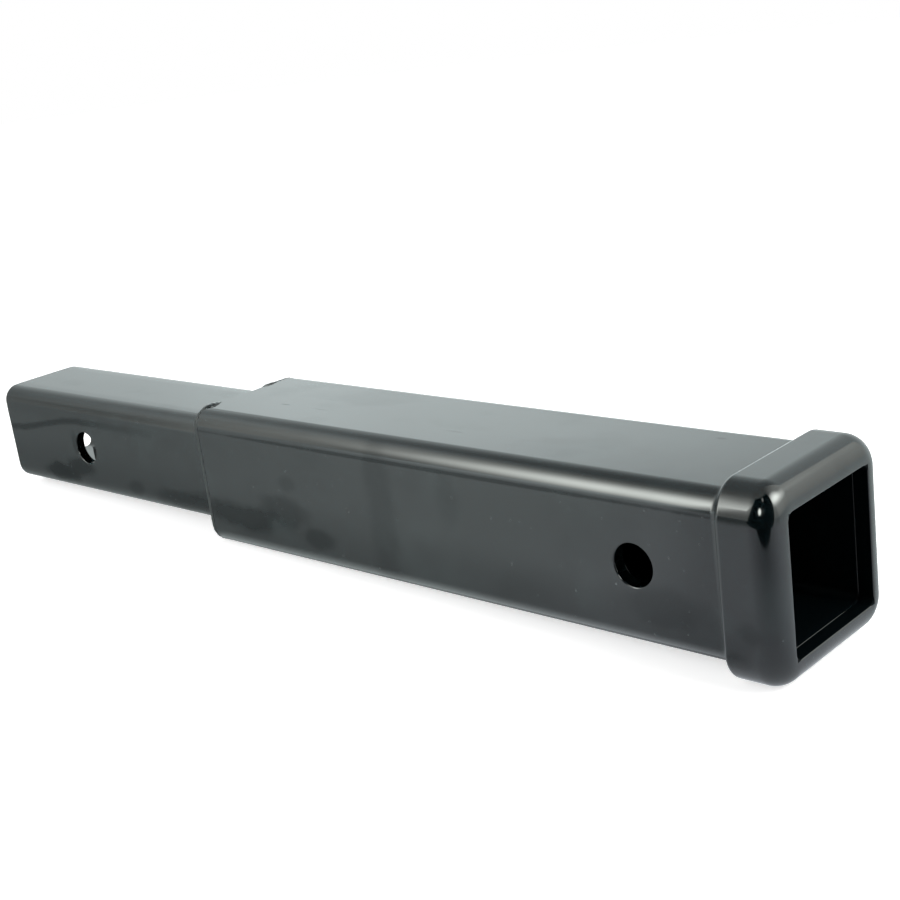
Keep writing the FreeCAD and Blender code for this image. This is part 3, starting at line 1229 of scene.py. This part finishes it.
@dataclass
class TentGlow:
    """The tent's light by heading (0 towards -X, 90 towards -Y) and height over the horizon, in degrees.

    A span is where a step begins and where it is full, or two levels to blend. A lean tilts an edge.
    """

    board: Board
    first_heading: float = -120.0
    wall: float = 0.98
    ceiling: float = 0.45
    east_from: Span = (165.0, 200.0)
    east_to: Span = (268.0, 250.0)
    east_levels: Span = (1.0, 1.7)
    east_span: Span = (-5.0, 42.0)
    east_lift: float = 14.0
    band_top: Span = (24.5, 20.0)
    band_foot: Span = (-6.0, 13.0)
    rear_ceiling: Span = (30.0, 64.0)
    side_from: Span = (18.0, 32.0)
    side_to: Span = (168.0, 160.0)
    side_ceiling: Span = (43.6, 77.6)
    box_level: float = 6.15
    box_left: Span = (50.9, 72.6)
    box_left_lean: float = 0.3
    box_right: Span = (71.6, 68.9)
    box_right_lean: float = 1.17
    box_bend: float = 24.5
    box_foot: Span = (-15.5, 14.5)
    box_foot_lean: float = 0.25
    box_middle: float = 60.0
    box_top: Span = (52.3, 19.0)
    door_left: Span = (79.0, 85.0)
    door_left_lean: float = 0.3
    door_right: Span = (174.0, 170.5)
    door_right_lean: float = 0.06
    door_top: Span = (66.0, 59.0)
    warm_from: Span = (10.0, 45.0)
    warm_foot: Span = (-6.0, 4.0)

    def __post_init__(self) -> None:
        """Measure heading and height."""
        board = self.board
        _, x, y, z = board.places()
        level = board.maths("SQRT", x * x + y * y)
        self.height = board.maths("DEGREES", board.maths("ARCTAN2", z, level))
        heading = board.maths("DEGREES", board.maths("ARCTAN2", y * -1.0, x * -1.0))
        self.heading = heading + board.maths("LESS_THAN", heading, self.first_heading) * 360.0

    def patch(self, patch: Patch) -> Wire:
        """The light of one patch.

        Args:
            patch: The patch.

        Returns:
            Its level in the patch and 0 outside.
        """
        across = (self.heading - patch.heading) / patch.wide
        up = (self.height - patch.height) / patch.tall
        reach = self.board.maths("SQRT", across * across + up * up)
        return self.board.step(reach, 1.0, patch.core) * patch.level

    def lit(self, light: Number, patches: Sequence[Patch]) -> Wire:
        """A light with patches added. A level below 0 takes light away."""
        return sum((self.patch(patch) for patch in patches), light)

    def dimmed(self, light: Wire, patches: Sequence[Patch]) -> Wire:
        """A light with patches that each take away the share that their level says."""
        return math.prod((1.0 - self.patch(patch) for patch in patches), start=light)

    def rear(self) -> Wire:
        """Wall and ceiling on the side away from the camera, brighter to the east.

        Returns:
            The light.
        """
        board, heading, height = self.board, self.heading, self.height
        east = board.step(heading, *self.east_from) * board.step(heading, *self.east_to)
        east_wall = board.blend(board.step(height, *self.east_span), *self.east_levels)
        band = self.patch(REAR_BAND) * board.step(height, *self.band_top)
        band = band * board.step(height, *self.band_foot)
        wall = self.lit(board.blend(east, self.wall, east_wall) + band, REAR_BRIGHT)
        ceiling = board.step(height - east * self.east_lift, *self.rear_ceiling)
        return board.blend(ceiling, self.dimmed(wall, REAR_DIM), self.ceiling) + self.patch(REAR_HAZE)

    def side(self) -> Wire:
        """Wall and ceiling on the camera's side, with the tall soft box.

        Returns:
            The light.
        """
        board, heading, height = self.board, self.heading, self.height
        left = board.step(heading + height * self.box_left_lean, *self.box_left)
        over = board.maths("MAXIMUM", height - self.box_bend, 0.0)
        right = board.step(heading - over * self.box_right_lean, *self.box_right)
        foot = board.step(height - (heading - self.box_middle) * self.box_foot_lean, *self.box_foot)
        box = left * right * foot * board.step(height, *self.box_top) * self.box_level
        wall = self.lit(self.wall, SIDE_UNEVEN)
        light = board.blend(board.step(height, *self.side_ceiling), wall, self.ceiling)
        return light + box + self.patch(BOX_HAZE)

    def door(self) -> Wire:
        """The dark doorway behind the camera.

        Returns:
            1 in the doorway.
        """
        board, heading = self.board, self.heading
        above = board.maths("MAXIMUM", self.height, 0.0)
        left = board.step(heading - above * self.door_left_lean, *self.door_left)
        right = board.step(heading - above * self.door_right_lean, *self.door_right)
        return left * right * board.step(self.height, *self.door_top)

    def strength(self, shine: Wire) -> Wire:
        """All of the tent's light.

        Args:
            shine: 1 on the rays that gloss sends out, which alone see the lamp in the doorway.

        Returns:
            The light.
        """
        board, heading = self.board, self.heading
        beside = board.step(heading, *self.side_from) * board.step(heading, *self.side_to)
        light = self.lit(board.blend(beside, self.rear(), self.side()), RIGHT_BOX)
        return light * (1.0 - self.door()) + self.lit(0.0, DOOR_LAMP) * shine

    def warmth(self) -> Wire:
        """The share of warm light."""
        return self.board.step(self.heading, *self.warm_from) * self.board.step(self.height, *self.warm_foot)


@dataclass
class Studio:
    """Floor, light tent, lamp and camera."""

    camera_place: Vector = field(default_factory=lambda: Vector((648.9, -417.1, 203.2)) * MM)
    camera_azimuth: float = math.radians(45.0)
    camera_elevation: float = math.radians(17.37)
    camera_roll: float = math.radians(-7.75)
    lens: float = 60.45
    tent_radius: float = 1.5
    tent_rows: int = 24
    tent_columns: int = 48
    floor_radius: float = 2.9
    floor_steps: int = 96
    paper: Colour = (0.8, 0.8, 0.8, 1.0)
    paper_glow: float = 0.62
    world_level: float = 0.6
    lamp_place: tuple[float, float, float] = (-0.1, -0.5, 1.7)
    lamp_aim: tuple[float, float, float] = (0.17, 0.0, 0.0)
    lamp_size: float = 1.4
    lamp_energy: float = 12.0
    cool: Colour = (0.9, 1.0, 1.0, 1.0)
    warm: Colour = (0.95, 1.0, 0.95, 1.0)
    blue: Colour = (0.95, 1.0, 1.07, 1.0)

    def add_camera(self) -> None:
        """Stand the camera where the photograph was taken from."""
        data = bpy.data.cameras.new("camera")
        data.sensor_width = 36.0
        data.lens = self.lens
        data.clip_start, data.clip_end = 0.01, 50.0
        camera = new_object("camera", data)
        a, e = self.camera_azimuth, self.camera_elevation
        forward = Vector((-math.sin(a) * math.cos(e), math.cos(a) * math.cos(e), -math.sin(e)))
        camera.rotation_mode = "QUATERNION"
        roll = Quaternion((0, 0, 1), self.camera_roll)
        camera.rotation_quaternion = forward.to_track_quat("-Z", "Y") @ roll
        camera.location = self.camera_place
        bpy.context.scene.camera = camera

    def add_floor(self) -> None:
        """Lay the pale floor that the collar and the receiver tube's rear edge rest on."""
        collar_low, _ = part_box("receiver_collar")
        tube_low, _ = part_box("receiver_tube")
        fall = (collar_low.z - tube_low.z) / (collar_low.x - tube_low.x)
        lie = Quaternion((0, 1, 0), -math.atan(fall))
        middle = Vector((tube_low.x, 0, tube_low.z))
        ring = []
        for share in shares(self.floor_steps):
            spoke = Vector((math.cos(TURN * share), math.sin(TURN * share), 0)) * self.floor_radius
            ring.append(tuple(lie @ spoke + middle))
        mesh = bpy.data.meshes.new("floor")
        mesh.from_pydata(ring, [], [list(range(self.floor_steps))])
        mesh.materials.append(self.floor_material())
        floor = new_object("floor", mesh)

    def floor_material(self) -> bpy.types.Material:
        """White paper that keeps the object's shadow. The object's gloss sees a calmer glow instead: the
        floor's painted reflection, with painted light and painted shadows.

        Returns:
            The material.
        """
        made, board = new_material("white_paper")
        foot = Vector((self.camera_place.x, self.camera_place.y, 0))
        # The level of the floor's painted reflection, and its bluish share.
        painted_reflection_level, blue = PaintedFloorReflection(board, foot).light()
        paper = board.wire("ShaderNodeBsdfDiffuse", None, {"Color": self.paper})
        light = board.glow(WHITE, board.ray("Camera") * self.paper_glow)
        seen = board.wire("ShaderNodeAddShader", None, {0: paper, 1: light})
        shine = board.glow(board.tint(blue, self.cool, self.blue), painted_reflection_level)
        board.finish(board.mix(board.ray("Glossy"), seen, shine))
        return made

    def add_tent(self) -> None:
        """Set up the light tent, a sphere that only the object's gloss and the floor see."""
        rows, columns = self.tent_rows, self.tent_columns
        points = [Vector((0, 0, 1)), Vector((0, 0, -1))]
        for row in range(1, rows):
            polar = math.pi * row / rows
            for column in range(columns):
                angle = TURN * column / columns
                across = math.sin(polar)
                points.append(Vector((across * math.cos(angle), across * math.sin(angle), math.cos(polar))))
        faces = []
        for column in range(columns):
            following = (column + 1) % columns
            last = 2 + (rows - 2) * columns
            faces += [(0, 2 + following, 2 + column), (1, last + column, last + following)]
            for here in range(2, last, columns):
                below = here + columns
                faces.append((here + column, here + following, below + following, below + column))
        mesh = bpy.data.meshes.new("light_tent")
        mesh.from_pydata([tuple(p * self.tent_radius) for p in points], [], faces)
        mesh.materials.append(self.tent_material())
        tent = new_object("light_tent", mesh)
        tent.visible_camera = False

    def tent_material(self) -> bpy.types.Material:
        """The tent's glow: white walls, dim ceiling, two soft boxes and a dark doorway behind the camera.

        Returns:
            The material.
        """
        made, board = new_material("tent_glow")
        glow = TentGlow(board)
        shine = board.ray("Glossy")
        tint = board.tint(shine, WHITE, board.tint(glow.warmth(), self.cool, self.warm))
        board.finish(board.glow(tint, glow.strength(shine)))
        made.cycles.emission_sampling = "NONE"
        return made

    def add_world(self) -> None:
        """White surroundings for what the camera and the gloss see."""
        world = bpy.data.worlds.new("white_room")
        bpy.context.scene.world = world
        world.use_nodes = True
        board = Board(world.node_tree)
        seen = board.maths("MAXIMUM", board.ray("Camera"), board.ray("Glossy"))
        seen = board.maths("MAXIMUM", seen, board.ray("Transmission"))
        strength = board.blend(seen, self.world_level, 1.0)
        light = board.wire("ShaderNodeBackground", None, {"Color": WHITE, "Strength": strength})
        board.finish(light, "World")

    def add_lamp(self) -> None:
        """Hang the soft overhead lamp that gives the floor its shadow."""
        data = bpy.data.lights.new("overhead", "AREA")
        data.shape = "DISK"
        data.size = self.lamp_size
        data.energy = self.lamp_energy
        lamp = new_object("overhead", data)
        lamp.location = self.lamp_place
        lamp.rotation_mode = "QUATERNION"
        lamp.rotation_quaternion = (Vector(self.lamp_aim) - lamp.location).to_track_quat("-Z", "Y")
        lamp.visible_camera = False
        lamp.visible_glossy = False

    def build(self) -> None:
        """Set everything up."""
        bpy.context.scene.view_settings.view_transform = "Standard"
        self.add_camera()
        self.add_floor()
        self.add_tent()
        self.add_world()
        self.add_lamp()
        log.info("studio is set")


def main() -> None:
    """Build every piece round the frame, then the studio."""
    logging.basicConfig(level=logging.INFO, format="%(name)s: %(message)s")
    shank = SquareTube("shank_tube", "shank_pin_hole", wall=4.76 * MM, inner_corner=3.24 * MM,
                       bend=5.0 * MM, bend_turn=math.radians(2.6))
    receiver = SquareTube("receiver_tube", "receiver_pin_hole", wall=5.75 * MM, inner_corner=3.0 * MM,
                          end_round=0.35 * MM, inner_end_round=0.6 * MM)
    collar = Collar(receiver)
    collar_weld = CollarWeld(receiver)
    left = ShankWeld(Side.LEFT, "left_shank_weld", shank, receiver, top_start=9.5 * MM, seed=3,
                     lump=(4.0 * MM, 4.0 * MM, 4.5 * MM), lump_proud=0.4 * MM, lump_wrap=1.1 * MM)
    right = ShankWeld(Side.RIGHT, "right_shank_weld", shank, receiver, top_start=15.5 * MM, seed=8)
    weld_coat = GlossCoat("weld_enamel", side_roughness=0.5).material()
    shank.build(GlossCoat("shank_enamel", shank.half, marks=SHANK_MARKS, dull_lines=SHANK_DULL_LINES).material())
    receiver.build(GlossCoat("receiver_enamel", receiver.half, receiver.inner_half,
                             RECEIVER_MARKS).material())
    collar.build(GlossCoat("collar_enamel", collar.half, receiver.inner_half, COLLAR_MARKS,
                           near_reach=6.0 * MM).material())
    collar_weld.build(GlossCoat("collar_weld_enamel", roughness=0.14, smudge_roughness=0.2).material())
    ripples = Ripples()
    for weld in (left, right):
        weld.build(weld_coat, ripples)
    Studio().build()


if __name__ == "__main__":
    main()
